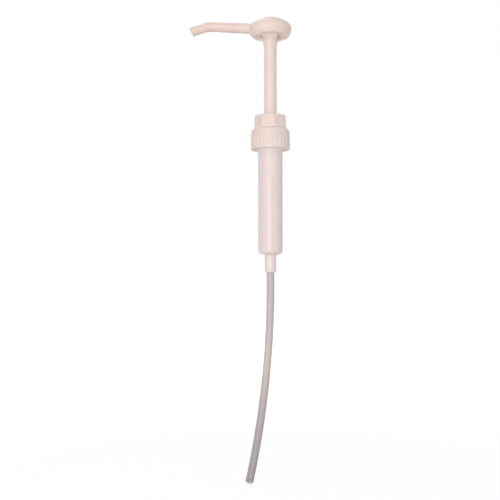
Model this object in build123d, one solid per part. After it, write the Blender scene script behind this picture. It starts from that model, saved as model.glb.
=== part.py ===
"""Hand pump that screws on a bottle with a 38 mm neck and dispenses gear oil.

Frame: millimetres, +Z up along the pump's axis, origin where the gasket meets the bottle's lip.
The spout points along -X. The pump is drawn with its head up, at the top of the stroke.
"""

import math
import os

from build123d import *

# ---------------------------------------------------------------- clearances
RUN_GAP = 0.06      # radial, a piece that slides or turns in its guide
TURN_GAP = 0.2      # between the closure and what it turns against
SEAT_GAP = 0.05     # between flat faces of pieces that turn or slide apart
SLIP_GAP = 0.1      # radial, pieces that are put together and stay so
BALL_GAP = 0.03     # between a ball and its seat

# ---------------------------------------------------------------- closure, for a 38 mm neck
CLOSURE_WALL = 1.65         # outside the thread's bore, at the bottom edge
CLOSURE_DRAFT = 2.2         # degrees that the side leans in towards the top
CLOSURE_SHOULDER_R = 3.2    # rounding of the top edge
CLOSURE_EDGE_R = 0.5        # rounding of the bottom edge
CLOSURE_TOP_T = 4.2
SKIRT_DEPTH = 13.3          # below the sealing plane
THREAD_BORE_R = 18.95       # over the bottle's thread
THREAD_PITCH = 4.233        # six turns to the inch
THREAD_TURNS = 1.3
THREAD_DEPTH = 1.2
THREAD_ROOT_W = 2.2
THREAD_CREST_W = 0.9
THREAD_START = 9.9          # the ridge's lower end, below the sealing plane
UPPER_BORE_STEP = 0.85      # the bore round the barrel's flange is this much narrower
UPPER_BORE_DEPTH = 1.3      # how far it runs below the sealing plane
FLUTE_COUNT = 24
FLUTE_R = 2.0
FLUTE_DEPTH = 0.45
FLUTE_LOW = 2.7             # lower end of the flutes, above the bottom edge
FLUTE_L = 9.2

# ---------------------------------------------------------------- gasket
GASKET_T = 1.6
GASKET_BORE_GAP = 1.15      # round the barrel

# ---------------------------------------------------------------- barrel
BORE_R = 11.5
BARREL_WALL = 1.35
BARREL_DEPTH = 121.2        # sealing plane to the foot of the barrel
BARREL_FLOOR_T = 2.2
BARREL_FOOT_R = 3.4         # rounding at the foot
FLANGE_GAP = 0.6            # inside the closure's upper bore
FLANGE_T = 2.4
NECK_WALL = 2.8             # of the mouth above the flange, where the collar holds
NECK_H = 8.6
BEAD_H = 0.4                # snap bead round the neck
BEAD_BELOW_TOP = 2.2
TAIL_R = 5.95
TAIL_CONE_H = 2.4
TAIL_L = 17.6               # below the cone
VENT_R = 0.75
VENT_DEPTH = 7.4            # below the sealing plane, between the piston's lips at rest

# ---------------------------------------------------------------- dip tube
TUBE_R = 4.0
TUBE_WALL = 1.2
TUBE_SOCKET_L = 13.0
TUBE_STRAIGHT_L = 14.3      # straight below the tail, before the bend
TUBE_BEND_R = 580.0         # the set that the tube keeps from its coil
TUBE_BEND_ANGLE = 19.62     # to the middle of the cut end
TUBE_BEND_TO = -129.5       # direction that the tube bends to, degrees from +X
TUBE_CUT = 28.0             # degrees off square of the cut end
TUBE_CUT_TO = -90.0         # direction that the cut faces, degrees from +X

# ---------------------------------------------------------------- collar
COLLAR_SIDES = 8
COLLAR_WALL = 1.7           # outside the barrel's neck, at the middle of a flat
COLLAR_CORNER_ROUND = 3.0
COLLAR_H = 13.8
COLLAR_TURN = -99.0         # direction of one flat's middle, degrees from +X
COLLAR_TOP_ROUND = 1.5
COLLAR_CONE_H = 5.4         # the conical cut that takes the top corners off
COLLAR_CONE_IN = 1.5

# ---------------------------------------------------------------- guide bush and wiper seal
BUSH_FLANGE_T = 1.4
BUSH_FLANGE_INSET = 0.6     # from the neck's side
BUSH_PLATE_T = 2.0
BUSH_SLEEVE_WALL = 2.1
BUSH_END = 0.6              # the sleeve's lower end, above the sealing plane
WIPER_R = 10.4
WIPER_H = 4.2
WIPER_BASE_T = 1.4
WIPER_LIP_T = 1.1

# ---------------------------------------------------------------- stem
STEM_R = 6.6
STEM_BORE_R = 4.3
STROKE = 71.0
BARE_STEM = 1.6             # stem left between collar and flare at the end of the stroke
FLARE_R = 7.75
FLARE_H = 5.2
FLARE_SOCKET_R = 5.6
SOCKET_L = 10.0
STEM_HEAD_L = 13.05         # from the flare's start to the stem's top
SHOULDER_GAP = 0.9          # inside the barrel's bore
SHOULDER_T = 2.2
STOP_BAR_W = 1.3
STOP_BAR_H = 1.5

# ---------------------------------------------------------------- piston
SEAL_H = 11.3
SEAL_CORE_R = 8.7
SEAL_WAIST_GAP = 1.2        # inside the barrel's bore
SEAL_LIP_W = 0.85
SEAL_LIP_H = 1.2
SEAL_CUP_DEPTH = 1.9
NOSE_FLANGE_LAP = 0.45      # beyond the spring that rests on it
NOSE_FLANGE_T = 2.4
NOSE_SPIGOT_L = 8.1
NOSE_BORE_R = 2.0
NOSE_GUIDE_R = 6.4
NOSE_GUIDE_L = 6.5
NOSE_LEAD = 1.1             # cone at the spring guide's end

# ---------------------------------------------------------------- balls and cage
OUTLET_BALL_R = 3.175
OUTLET_LIFT = 2.5
OUTLET_SEAT_H = 1.5
INLET_BALL_R = 3.97
INLET_LIFT = 3.0
INLET_SEAT_H = 2.0
INLET_BORE_R = 2.6
CAGE_RING_T = 1.8
CAGE_BORE_R = 5.0
CAGE_WALL = 1.4
CAGE_ROOF_T = 1.4
CAGE_ROOF_HOLE_R = 2.0
CAGE_WINDOW_W = 4.0
CAGE_SILL = 0.9
CAGE_LINTEL = 0.8

# ---------------------------------------------------------------- return spring
WIRE_R = 0.65
SPRING_R = 8.5              # axis to the wire's centre
SPRING_TURNS = 12
END_TURNS = 1.0             # dead turns at each end
END_PITCH = 1.9
RAMP_TURNS = 0.5
LEAST_COIL_GAP = 0.4

# ---------------------------------------------------------------- head and spout
HEAD_R = 22.2               # at the widest
HEAD_CROWN_H = 11.7         # widest level to the top
HEAD_SKIRT_H = 8.4          # widest level to the rim
HEAD_RIM_R = 19.1
HEAD_SHOULDER_R = 6.0
HEAD_WALL = 1.8
RIM_ROUND = 0.5
SPIGOT_L = 9.7
HUB_BORE_R = 3.0
RIB_COUNT = 6
RIB_T = 1.4
RIB_RECESS = 2.2            # ribs stop this far above the rim
SPOUT_R = 5.0
SPOUT_ROOT_R = 5.4
SPOUT_BORE_R = 2.8
SPOUT_RISE = 2.75           # degrees that the spout climbs outwards
SPOUT_DROP = 18.5           # degrees that the tip slopes down
SPOUT_AXIS_DROP = 0.6       # the spout's line crosses the axis this far below the widest level
SPOUT_TAPER_OUT = 4.1       # the taper starts this far outside the head
SPOUT_TAPER_L = 28.0
SPOUT_BEND_AT = 66.2        # distances from the pump's axis
SPOUT_REACH = 83.0
SPOUT_BEND_R = 16.0
SPOUT_CUT = 8.0             # degrees off square of the spout's end
SPOUT_BLEND_R = 3.5

# ---------------------------------------------------------------- sizes worked out from them
BARREL_R = BORE_R + BARREL_WALL
NECK_R = BORE_R + NECK_WALL
CLOSURE_R = THREAD_BORE_R + CLOSURE_WALL
UPPER_BORE_R = THREAD_BORE_R - UPPER_BORE_STEP
FLANGE_R = UPPER_BORE_R - FLANGE_GAP
GASKET_R = FLANGE_R
GASKET_BORE_R = BARREL_R + GASKET_BORE_GAP
COLLAR_FLAT_R = NECK_R + COLLAR_WALL
BUSH_FLANGE_R = NECK_R - BUSH_FLANGE_INSET
SHOULDER_R = BORE_R - SHOULDER_GAP
SEAL_WAIST_R = BORE_R - SEAL_WAIST_GAP
NOSE_FLANGE_R = SPRING_R + WIRE_R + NOSE_FLANGE_LAP
SPOUT_TAPER_FROM = HEAD_R + SPOUT_TAPER_OUT
SPOUT_TAPER_TO = SPOUT_TAPER_FROM + SPOUT_TAPER_L

# ---------------------------------------------------------------- levels worked out from them
FLANGE_TOP = GASKET_T + FLANGE_T
CLOSURE_CEILING = FLANGE_TOP + TURN_GAP
CLOSURE_TOP = CLOSURE_CEILING + CLOSURE_TOP_T
NECK_TOP = FLANGE_TOP + NECK_H
COLLAR_BOTTOM = CLOSURE_TOP + TURN_GAP
COLLAR_TOP = COLLAR_BOTTOM + COLLAR_H
BUSH_TOP = NECK_TOP + BUSH_FLANGE_T
WIPER_TOP = BUSH_TOP + WIPER_H
FLOOR = -BARREL_DEPTH + BARREL_FLOOR_T
TAIL_TOP = -BARREL_DEPTH - TAIL_CONE_H
TAIL_END = TAIL_TOP - TAIL_L
SOCKET_TOP = TAIL_END + TUBE_SOCKET_L

SHOULDER_TOP = BUSH_END - SEAT_GAP
SEAL_TOP = SHOULDER_TOP - SHOULDER_T - SEAT_GAP
SEAL_BOTTOM = SEAL_TOP - SEAL_H
NOSE_FLANGE_TOP = SEAL_BOTTOM - SEAT_GAP
NOSE_FLANGE_BOTTOM = NOSE_FLANGE_TOP - NOSE_FLANGE_T
NOSE_TOP = NOSE_FLANGE_TOP + NOSE_SPIGOT_L

FLARE_BOTTOM = COLLAR_TOP + STROKE + BARE_STEM
STEM_TOP = FLARE_BOTTOM + STEM_HEAD_L
HEAD_MID = STEM_TOP + SEAT_GAP + SPOUT_ROOT_R + SPOUT_AXIS_DROP + TURN_GAP
HEAD_TOP = HEAD_MID + HEAD_CROWN_H
HEAD_RIM = HEAD_MID - HEAD_SKIRT_H
SPOUT_AXIS_Z = HEAD_MID - SPOUT_AXIS_DROP

CAGE_RING_TOP = FLOOR + CAGE_RING_T


def ball_centre(ball_r, bore_r, seat_top, seat_h):
    """Height of a ball's centre where it rests on a 45 degree seat."""
    contact_r = ball_r * math.sin(math.radians(45))
    contact_z = seat_top - seat_h + (contact_r - bore_r)
    return contact_z + ball_r * math.cos(math.radians(45)) + BALL_GAP


OUTLET_BALL_Z = ball_centre(OUTLET_BALL_R, NOSE_BORE_R, NOSE_TOP, OUTLET_SEAT_H)
INLET_BALL_Z = ball_centre(INLET_BALL_R, INLET_BORE_R, FLOOR, INLET_SEAT_H)
STOP_BAR_Z = OUTLET_BALL_Z + OUTLET_BALL_R + OUTLET_LIFT + SLIP_GAP
CAGE_CEILING = INLET_BALL_Z + INLET_BALL_R + INLET_LIFT + SLIP_GAP


# ---------------------------------------------------------------- helpers
def turned(points):
    """Solid of revolution about Z from (radius, height) points."""
    return revolve(Plane.XZ * make_face(Polyline(*points, close=True)), Axis.Z)


def rod(radius, z_low, z_high):
    return Pos(0, 0, z_low) * extrude(Circle(radius), z_high - z_low)


def tube(radius, bore_r, z_low, z_high):
    return rod(radius, z_low, z_high) - rod(bore_r, z_low, z_high)


# ---------------------------------------------------------------- closure and gasket
def screw_closure():
    lean = math.tan(math.radians(CLOSURE_DRAFT))
    top_r = CLOSURE_R - lean * (CLOSURE_TOP + SKIRT_DEPTH)
    profile = Polyline(
        (NECK_R + TURN_GAP + SLIP_GAP, CLOSURE_CEILING),
        (UPPER_BORE_R, CLOSURE_CEILING),
        (UPPER_BORE_R, -UPPER_BORE_DEPTH),
        (THREAD_BORE_R, -UPPER_BORE_DEPTH - (THREAD_BORE_R - UPPER_BORE_R)),
        (THREAD_BORE_R, -SKIRT_DEPTH),
        (CLOSURE_R, -SKIRT_DEPTH),
        (top_r, CLOSURE_TOP),
        (NECK_R + TURN_GAP + SLIP_GAP, CLOSURE_TOP),
        close=True,
    )
    face = make_face(profile)
    corners = face.vertices()
    face = fillet(corners.sort_by_distance((top_r, CLOSURE_TOP))[0], CLOSURE_SHOULDER_R)
    face = fillet(face.vertices().sort_by_distance((CLOSURE_R, -SKIRT_DEPTH))[0], CLOSURE_EDGE_R)
    body = revolve(Plane.XZ * face, Axis.Z)
    body -= flutes(lean)
    return body + thread_ridge()


def flutes(lean):
    """Upright grooves round the closure's side, with round ends."""
    low = -SKIRT_DEPTH + FLUTE_LOW
    r_low = CLOSURE_R - lean * FLUTE_LOW + FLUTE_R - FLUTE_DEPTH
    r_high = r_low - lean * FLUTE_L
    start, end = Vector(r_low, 0, low), Vector(r_high, 0, low + FLUTE_L)
    cutter = extrude(Plane(start, z_dir=end - start) * Circle(FLUTE_R), (end - start).length)
    cutter += Pos(start) * Sphere(FLUTE_R)
    cutter += Pos(end) * Sphere(FLUTE_R)
    step = 360 / FLUTE_COUNT
    return [Rot(0, 0, step * (i + 0.5)) * cutter for i in range(FLUTE_COUNT)]


def thread_ridge():
    """One helical ridge that engages the bottle's thread."""
    root_r = THREAD_BORE_R + SLIP_GAP
    path = Helix(THREAD_PITCH, THREAD_PITCH * THREAD_TURNS, root_r, (0, 0, -THREAD_START))
    across = Plane(path @ 0, x_dir=(-1, 0, 0), z_dir=path % 0)
    depth = THREAD_DEPTH + SLIP_GAP
    section = Polyline(
        (0, -THREAD_ROOT_W / 2),
        (depth, -THREAD_CREST_W / 2),
        (depth, THREAD_CREST_W / 2),
        (0, THREAD_ROOT_W / 2),
        close=True,
    )
    return sweep(across * make_face(section), path, is_frenet=True)


def neck_gasket():
    return tube(GASKET_R, GASKET_BORE_R, 0, GASKET_T)


# ---------------------------------------------------------------- barrel and dip tube
def barrel():
    outline = Polyline(
        (0, NECK_TOP),
        (NECK_R, NECK_TOP),
        (NECK_R, FLANGE_TOP),
        (FLANGE_R, FLANGE_TOP),
        (FLANGE_R, GASKET_T),
        (BARREL_R, GASKET_T),
        (BARREL_R, -BARREL_DEPTH),
        (TAIL_R, TAIL_TOP),
        (TAIL_R, TAIL_END),
        (0, TAIL_END),
        close=True,
    )
    face = make_face(outline)
    face = fillet(face.vertices().sort_by_distance((BARREL_R, -BARREL_DEPTH))[0], BARREL_FOOT_R)
    body = revolve(Plane.XZ * face, Axis.Z)
    bead_z = NECK_TOP - BEAD_BELOW_TOP
    body += turned([(NECK_R - BEAD_H, bead_z - 2 * BEAD_H), (NECK_R - BEAD_H, bead_z + 2 * BEAD_H),
                    (NECK_R + BEAD_H, bead_z)])
    body -= rod(BORE_R, FLOOR, NECK_TOP)
    seat_r = INLET_BORE_R + INLET_SEAT_H
    body -= turned([(0, FLOOR), (seat_r, FLOOR), (INLET_BORE_R, FLOOR - INLET_SEAT_H),
                    (0, FLOOR - INLET_SEAT_H)])
    body -= rod(INLET_BORE_R, SOCKET_TOP, FLOOR - INLET_SEAT_H)
    body -= rod(TUBE_R, TAIL_END, SOCKET_TOP)
    vent = Pos(0, BORE_R + BARREL_WALL / 2, -VENT_DEPTH) * Rot(90, 0, 0) * Cylinder(
        VENT_R, 2 * BARREL_WALL)
    return body - vent


def dip_tube():
    """Straight in its socket, then one long arc, cut at an angle at the far end."""
    top = Vector(0, 0, SOCKET_TOP)
    bend_start = Vector(0, 0, TAIL_END - TUBE_STRAIGHT_L)
    towards = Vector(1, 0, 0).rotate(Axis.Z, TUBE_BEND_TO)
    centre = bend_start + towards * TUBE_BEND_R

    def on_arc(angle):
        turn = math.radians(angle)
        return centre - towards * TUBE_BEND_R * math.cos(turn) - Vector(
            0, 0, TUBE_BEND_R * math.sin(turn))

    spare = 2 * TUBE_R * math.tan(math.radians(TUBE_CUT))
    full_angle = TUBE_BEND_ANGLE + math.degrees(spare / TUBE_BEND_R)
    path = Wire([
        Edge.make_line(top, bend_start),
        Edge.make_three_point_arc(bend_start, on_arc(full_angle / 2), on_arc(full_angle)),
    ])
    ring = Plane(top, z_dir=(0, 0, -1)) * (Circle(TUBE_R) - Circle(TUBE_R - TUBE_WALL))
    body = sweep(ring, path)
    turn = math.radians(TUBE_BEND_ANGLE)
    along = towards * math.sin(turn) - Vector(0, 0, math.cos(turn))
    faces = Vector(1, 0, 0).rotate(Axis.Z, TUBE_CUT_TO)
    cut_plane = Plane(on_arc(TUBE_BEND_ANGLE),
                      z_dir=along.rotate(Axis((0, 0, 0), along.cross(faces)), TUBE_CUT))
    return body - cut_plane * Pos(0, 0, 2 * spare) * Box(8 * TUBE_R, 8 * TUBE_R, 4 * spare)


# ---------------------------------------------------------------- collar, bush and wiper
def locking_collar():
    corner_r = COLLAR_FLAT_R / math.cos(math.pi / COLLAR_SIDES)
    outline = RegularPolygon(corner_r, COLLAR_SIDES, rotation=180 / COLLAR_SIDES)
    outline = fillet(outline.vertices(), COLLAR_CORNER_ROUND)
    body = Pos(0, 0, COLLAR_BOTTOM) * extrude(Rot(0, 0, COLLAR_TURN) * outline, COLLAR_H)
    wide = corner_r + SLIP_GAP
    crown_face = make_face(Polyline(
        (0, COLLAR_BOTTOM),
        (wide, COLLAR_BOTTOM),
        (wide, COLLAR_TOP - COLLAR_CONE_H),
        (wide - COLLAR_CONE_IN, COLLAR_TOP),
        (0, COLLAR_TOP),
        close=True,
    ))
    crown_edge = (wide - COLLAR_CONE_IN, COLLAR_TOP)
    crown_face = fillet(crown_face.vertices().sort_by_distance(crown_edge)[0], COLLAR_TOP_ROUND)
    body &= revolve(Plane.XZ * crown_face, Axis.Z)
    body -= rod(NECK_R + SLIP_GAP, COLLAR_BOTTOM, BUSH_TOP)
    groove_r = NECK_R + BEAD_H + SLIP_GAP
    bead_z = NECK_TOP - BEAD_BELOW_TOP
    body -= turned([(NECK_R - BEAD_H, bead_z - 2 * BEAD_H - SLIP_GAP),
                    (NECK_R - BEAD_H, bead_z + 2 * BEAD_H + SLIP_GAP), (groove_r, bead_z)])
    body -= rod(WIPER_R + SLIP_GAP, BUSH_TOP, WIPER_TOP)
    return body - rod(STEM_R + RUN_GAP, WIPER_TOP, COLLAR_TOP)


def guide_bush():
    sleeve_r = BORE_R - SLIP_GAP
    stem_hole_r = STEM_R + RUN_GAP
    body = rod(BUSH_FLANGE_R, NECK_TOP, BUSH_TOP)
    body += rod(sleeve_r, BUSH_END, NECK_TOP)
    body -= rod(sleeve_r - BUSH_SLEEVE_WALL, BUSH_END, BUSH_TOP - BUSH_PLATE_T)
    return body - rod(stem_hole_r, BUSH_END, BUSH_TOP)


def wiper_seal():
    """A cup seal: a base with an outer wall and a lip on the stem."""
    inner_r = STEM_R + RUN_GAP
    body = tube(WIPER_R, inner_r, BUSH_TOP, WIPER_TOP)
    return body - tube(WIPER_R - WIPER_LIP_T, inner_r + WIPER_LIP_T, BUSH_TOP + WIPER_BASE_T, WIPER_TOP)


# ---------------------------------------------------------------- stem and piston
def stem():
    """Hollow rod with a flared socket at the top, a shoulder for the piston and a ball stop."""
    flare_mid = FLARE_BOTTOM + FLARE_H / 2
    half_step = (FLARE_R - STEM_R) / 2
    lower = [(0, SEAL_BOTTOM), (STEM_R, SEAL_BOTTOM), (STEM_R, SEAL_TOP + SEAT_GAP),
             (SHOULDER_R, SEAL_TOP + SEAT_GAP), (SHOULDER_R, SHOULDER_TOP), (STEM_R, SHOULDER_TOP),
             (STEM_R, FLARE_BOTTOM)]
    side = Polyline(*lower)
    flare_low = TangentArc((STEM_R, FLARE_BOTTOM), (STEM_R + half_step, flare_mid), tangent=(0, 1))
    flare_high = TangentArc((FLARE_R, FLARE_BOTTOM + FLARE_H), (STEM_R + half_step, flare_mid),
                            tangent=(0, -1))
    upper = Polyline((FLARE_R, FLARE_BOTTOM + FLARE_H), (FLARE_R, STEM_TOP), (0, STEM_TOP),
                     (0, SEAL_BOTTOM))
    face = make_face([side.edges(), flare_low.edges(), flare_high.edges(), upper.edges()])
    body = revolve(Plane.XZ * face, Axis.Z)
    body -= rod(STEM_BORE_R, SEAL_BOTTOM, STEM_TOP)
    body -= rod(FLARE_SOCKET_R, STEM_TOP - SOCKET_L, STEM_TOP)
    bar = Pos(0, 0, STOP_BAR_Z + STOP_BAR_H / 2) * Box(2 * STEM_BORE_R, STOP_BAR_W, STOP_BAR_H)
    bars = bar + Rot(0, 0, 90) * bar
    return body + (bars & rod(STEM_BORE_R + SLIP_GAP, STOP_BAR_Z, STOP_BAR_Z + STOP_BAR_H))


def piston_seal():
    """Double cup: one lip faces up and one down, and both wipe the barrel's bore."""
    lip_r = BORE_R - RUN_GAP
    middle = (SEAL_TOP + SEAL_BOTTOM) / 2
    lip_in = lip_r - SEAL_LIP_W
    cup_r = (SEAL_CORE_R + lip_in) / 2
    upper = [
        (STEM_R + RUN_GAP, SEAL_TOP),
        (SEAL_CORE_R, SEAL_TOP),
        (cup_r, SEAL_TOP - SEAL_CUP_DEPTH),
        (lip_in, SEAL_TOP),
        (lip_r, SEAL_TOP),
        (lip_r, SEAL_TOP - SEAL_LIP_H),
        (SEAL_WAIST_R, SEAL_TOP - SEAL_LIP_H - SEAL_CUP_DEPTH),
    ]
    lower = [(r, 2 * middle - z) for r, z in reversed(upper)]
    return turned(upper + lower)


def piston_nose():
    """Plug in the stem's lower end: holds the seal, seats the ball and centres the spring."""
    body = rod(NOSE_FLANGE_R, NOSE_FLANGE_BOTTOM, NOSE_FLANGE_TOP)
    body += rod(STEM_BORE_R, NOSE_FLANGE_TOP, NOSE_TOP)
    guide = rod(NOSE_GUIDE_R, NOSE_FLANGE_BOTTOM - NOSE_GUIDE_L, NOSE_FLANGE_BOTTOM)
    body += chamfer(guide.edges().group_by(Axis.Z)[0], NOSE_LEAD)
    body -= rod(NOSE_BORE_R, NOSE_FLANGE_BOTTOM - NOSE_GUIDE_L, NOSE_TOP)
    seat_z = NOSE_TOP - OUTLET_SEAT_H
    return body - turned([(0, NOSE_TOP), (NOSE_BORE_R + OUTLET_SEAT_H, NOSE_TOP),
                          (NOSE_BORE_R, seat_z), (0, seat_z)])


def outlet_ball():
    return Pos(0, 0, OUTLET_BALL_Z) * Sphere(OUTLET_BALL_R)


# ---------------------------------------------------------------- inlet valve and spring
def inlet_ball():
    return Pos(0, 0, INLET_BALL_Z) * Sphere(INLET_BALL_R)


def inlet_ball_cage():
    """Ring on the barrel's floor with a windowed dome over the ball."""
    wall_r = CAGE_BORE_R + CAGE_WALL
    roof_top = CAGE_CEILING + CAGE_ROOF_T
    body = rod(BORE_R - SLIP_GAP, FLOOR, CAGE_RING_TOP) + rod(wall_r, FLOOR, roof_top)
    body = chamfer(body.edges().group_by(Axis.Z)[-1], CAGE_ROOF_T / 2)
    body -= rod(CAGE_BORE_R, FLOOR, CAGE_CEILING)
    body -= rod(CAGE_ROOF_HOLE_R, CAGE_CEILING, roof_top)
    sill, lintel = CAGE_RING_TOP + CAGE_SILL, CAGE_CEILING - CAGE_LINTEL
    window = Pos(0, 0, (sill + lintel) / 2) * Box(2 * BORE_R, CAGE_WINDOW_W, lintel - sill)
    return body - window - Rot(0, 0, 90) * window


def spring_point(turns, low, high):
    """Point on the wire's centre line and its direction, after this many turns."""
    active_pitch = (high - low - 2 * END_TURNS * END_PITCH - RAMP_TURNS * END_PITCH) / (
        SPRING_TURNS - 2 * END_TURNS - RAMP_TURNS)

    def climbed(t):
        """Height gained over the even end pitch, and its rate, from the lower end."""
        if t <= END_TURNS:
            return 0, 0
        if t <= END_TURNS + RAMP_TURNS:
            part = (t - END_TURNS) / RAMP_TURNS
            return part ** 2 * RAMP_TURNS / 2, part
        return t - END_TURNS - RAMP_TURNS / 2, 1

    extra = active_pitch - END_PITCH
    half = SPRING_TURNS / 2
    if turns <= half:
        gained, rate = climbed(turns)
        z = low + END_PITCH * turns + extra * gained
    else:
        gained, rate = climbed(SPRING_TURNS - turns)
        z = high - END_PITCH * (SPRING_TURNS - turns) - extra * gained
    angle = 2 * math.pi * turns
    slope = (END_PITCH + extra * rate) / (2 * math.pi * SPRING_R)
    point = Vector(SPRING_R * math.cos(angle), SPRING_R * math.sin(angle), z)
    direction = Vector(-math.sin(angle), math.cos(angle), slope).normalized()
    return point, direction


def biarc(start, start_dir, end, end_dir):
    """Two arcs that join at a common tangent."""
    chord, both = end - start, start_dir + end_dir
    spread = 2 * (1 - start_dir.dot(end_dir))
    along = chord.dot(both)
    reach = (math.sqrt(along ** 2 + spread * chord.dot(chord)) - along) / spread
    first_corner, second_corner = start + start_dir * reach, end - end_dir * reach
    joint = (first_corner + second_corner) * 0.5
    return [
        Edge.make_tangent_arc(start, start_dir, joint),
        Edge.make_tangent_arc(joint, second_corner - first_corner, end),
    ]


def return_spring():
    """One wire wound in quarter turns, with closed end turns."""
    low = CAGE_RING_TOP + SEAT_GAP + WIRE_R
    high = NOSE_FLANGE_BOTTOM - SEAT_GAP - WIRE_R
    ends = [spring_point(quarter / 4, low, high) for quarter in range(4 * SPRING_TURNS + 1)]
    arcs = []
    for (start, start_dir), (end, end_dir) in zip(ends, ends[1:]):
        arcs += biarc(start, start_dir, end, end_dir)
    path = Wire(arcs)
    print(f"return spring: wire {path.length:.0f} mm, least gap to itself {coil_gap(low, high):.2f} mm")
    first, first_dir = ends[0]
    return sweep(Plane(first, z_dir=first_dir) * Circle(WIRE_R), path)


def coil_gap(low, high):
    """Least distance between the wire's surface on one turn and on the next."""
    steps = 24
    points = [spring_point(i / steps, low, high)[0] for i in range(steps * SPRING_TURNS + 1)]
    half_turn = steps // 2
    least = min((p - q).length for i, p in enumerate(points) for q in points[i + half_turn:])
    gap = least - 2 * WIRE_R
    assert gap > LEAST_COIL_GAP, "the spring's turns touch"
    return gap


# ---------------------------------------------------------------- head and spout
def bun(inset):
    """The head's outer form, or its hollow where inset is the wall."""
    wide, crown, shoulder = HEAD_R - inset, HEAD_CROWN_H - inset, HEAD_SHOULDER_R - inset
    crown_r = ((wide - shoulder) ** 2 + crown ** 2 - shoulder ** 2) / (2 * (crown - shoulder))
    top, crown_centre = HEAD_MID + crown, HEAD_MID + crown - crown_r
    lean = math.atan2(wide - shoulder, HEAD_MID - crown_centre)
    meet = (crown_r * math.sin(lean), crown_centre + crown_r * math.cos(lean))
    pull_in = HEAD_R - HEAD_RIM_R
    outer_skirt_r = (pull_in ** 2 + HEAD_SKIRT_H ** 2) / (2 * pull_in)
    turn = math.asin(HEAD_SKIRT_H / outer_skirt_r)
    skirt_r, skirt_centre = outer_skirt_r - inset, HEAD_R - outer_skirt_r

    def on_skirt(angle):
        return skirt_centre + skirt_r * math.cos(angle), HEAD_MID - skirt_r * math.sin(angle)

    skirt_end = on_skirt(turn)
    straight = skirt_end[1] - HEAD_RIM
    rim = (skirt_end[0] - straight * math.tan(turn), HEAD_RIM)
    on_crown = (crown_r * math.sin(lean / 2), crown_centre + crown_r * math.cos(lean / 2))
    outline = [
        ThreePointArc((0, top), on_crown, meet).edge(),
        TangentArc(meet, (wide, HEAD_MID), tangent=(math.cos(lean), -math.sin(lean))).edge(),
        ThreePointArc((wide, HEAD_MID), on_skirt(turn / 2), skirt_end).edge(),
        Line(rim, (0, HEAD_RIM)).edge(),
        Line((0, HEAD_RIM), (0, top)).edge(),
    ]
    if inset:
        outline.insert(3, Line(skirt_end, rim).edge())
    face = make_face(outline)
    if not inset:
        face = fillet(face.vertices().sort_by_distance(rim)[0], RIM_ROUND)
    return revolve(Plane.XZ * face, Axis.Z)


def spout_line():
    """Corner points of the spout's centre line in the XZ plane, from the axis to the tip."""
    rise, fall = math.tan(math.radians(SPOUT_RISE)), math.tan(math.radians(SPOUT_DROP))
    bend = Vector(-SPOUT_BEND_AT, 0, SPOUT_AXIS_Z + rise * SPOUT_BEND_AT)
    tip = Vector(-SPOUT_REACH, 0, bend.Z - fall * (SPOUT_REACH - SPOUT_BEND_AT))
    return Vector(0, 0, SPOUT_AXIS_Z), bend, tip


def along_spout(radius, start, beyond):
    """Rod that follows the spout from start to this far beyond the tip's centre."""
    _, bend, tip = spout_line()
    end = tip + (tip - bend).normalized() * beyond
    path = FilletPolyline(start, bend, end, radius=SPOUT_BEND_R)
    return sweep(Plane(start, z_dir=path % 0) * Circle(radius), path.wire())


def spout_body():
    """Outer form of the spout: even to the tip, thicker towards the head."""
    root, bend, tip = spout_line()
    outwards = (bend - root).normalized()
    per_x = 1 / abs(outwards.X)
    taper_start = root + outwards * (SPOUT_TAPER_FROM * per_x)
    taper_end = root + outwards * (SPOUT_TAPER_TO * per_x)
    body = extrude(Plane(root, z_dir=outwards) * Circle(SPOUT_ROOT_R), (taper_start - root).length)
    body += loft([Plane(taper_start, z_dir=outwards) * Circle(SPOUT_ROOT_R),
                  Plane(taper_end, z_dir=outwards) * Circle(SPOUT_R)])
    body += along_spout(SPOUT_R, taper_end, SPOUT_R)
    tip_dir = (tip - bend).normalized()
    cut_dir = tip_dir.rotate(Axis.Y, -SPOUT_CUT)
    size = 6 * SPOUT_R
    return body - Plane(tip, z_dir=cut_dir) * Pos(0, 0, size / 2) * Box(size, size, size)


def head_hollow():
    """The open underside of the head, less the hub, the ribs and the flow tube that cross it."""
    root, bend, _ = spout_line()
    hollow = bun(HEAD_WALL)
    hollow -= rod(FLARE_R, STEM_TOP, HEAD_TOP)
    hollow -= extrude(Plane(root, z_dir=bend - root) * Circle(SPOUT_ROOT_R), HEAD_R)
    rib_low = HEAD_RIM + RIB_RECESS
    rib_in = FLARE_R + TURN_GAP
    rib = Pos((rib_in + HEAD_R) / 2, 0, (rib_low + HEAD_TOP) / 2) * Box(
        HEAD_R - rib_in, RIB_T, HEAD_TOP - rib_low)
    step = 360 / RIB_COUNT
    return hollow - [Rot(0, 0, step * i) * rib for i in range(RIB_COUNT)]


def actuator_head():
    """Press-down head and spout in one moulding, with a spigot that plugs into the stem."""
    root, _, _ = spout_line()
    outer = bun(0)
    spout = spout_body()
    solid = outer + spout
    joint = [e for e in solid.edges() if e.center().X < -HEAD_R / 2 and e.geom_type not in (
        GeomType.CIRCLE, GeomType.LINE) and e.center().X > -SPOUT_TAPER_FROM]
    solid = fillet(joint, SPOUT_BLEND_R)
    solid -= head_hollow()
    solid += rod(FLARE_SOCKET_R, STEM_TOP - SPIGOT_L, STEM_TOP)
    solid -= rod(HUB_BORE_R, STEM_TOP - SPIGOT_L, SPOUT_AXIS_Z)
    return solid - along_spout(SPOUT_BORE_R, root, 2 * SPOUT_R)


PIECES = [
    actuator_head,
    stem,
    locking_collar,
    screw_closure,
    barrel,
    dip_tube,
    wiper_seal,
    guide_bush,
    neck_gasket,
    piston_seal,
    piston_nose,
    outlet_ball,
    return_spring,
    inlet_ball_cage,
    inlet_ball,
]


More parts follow.
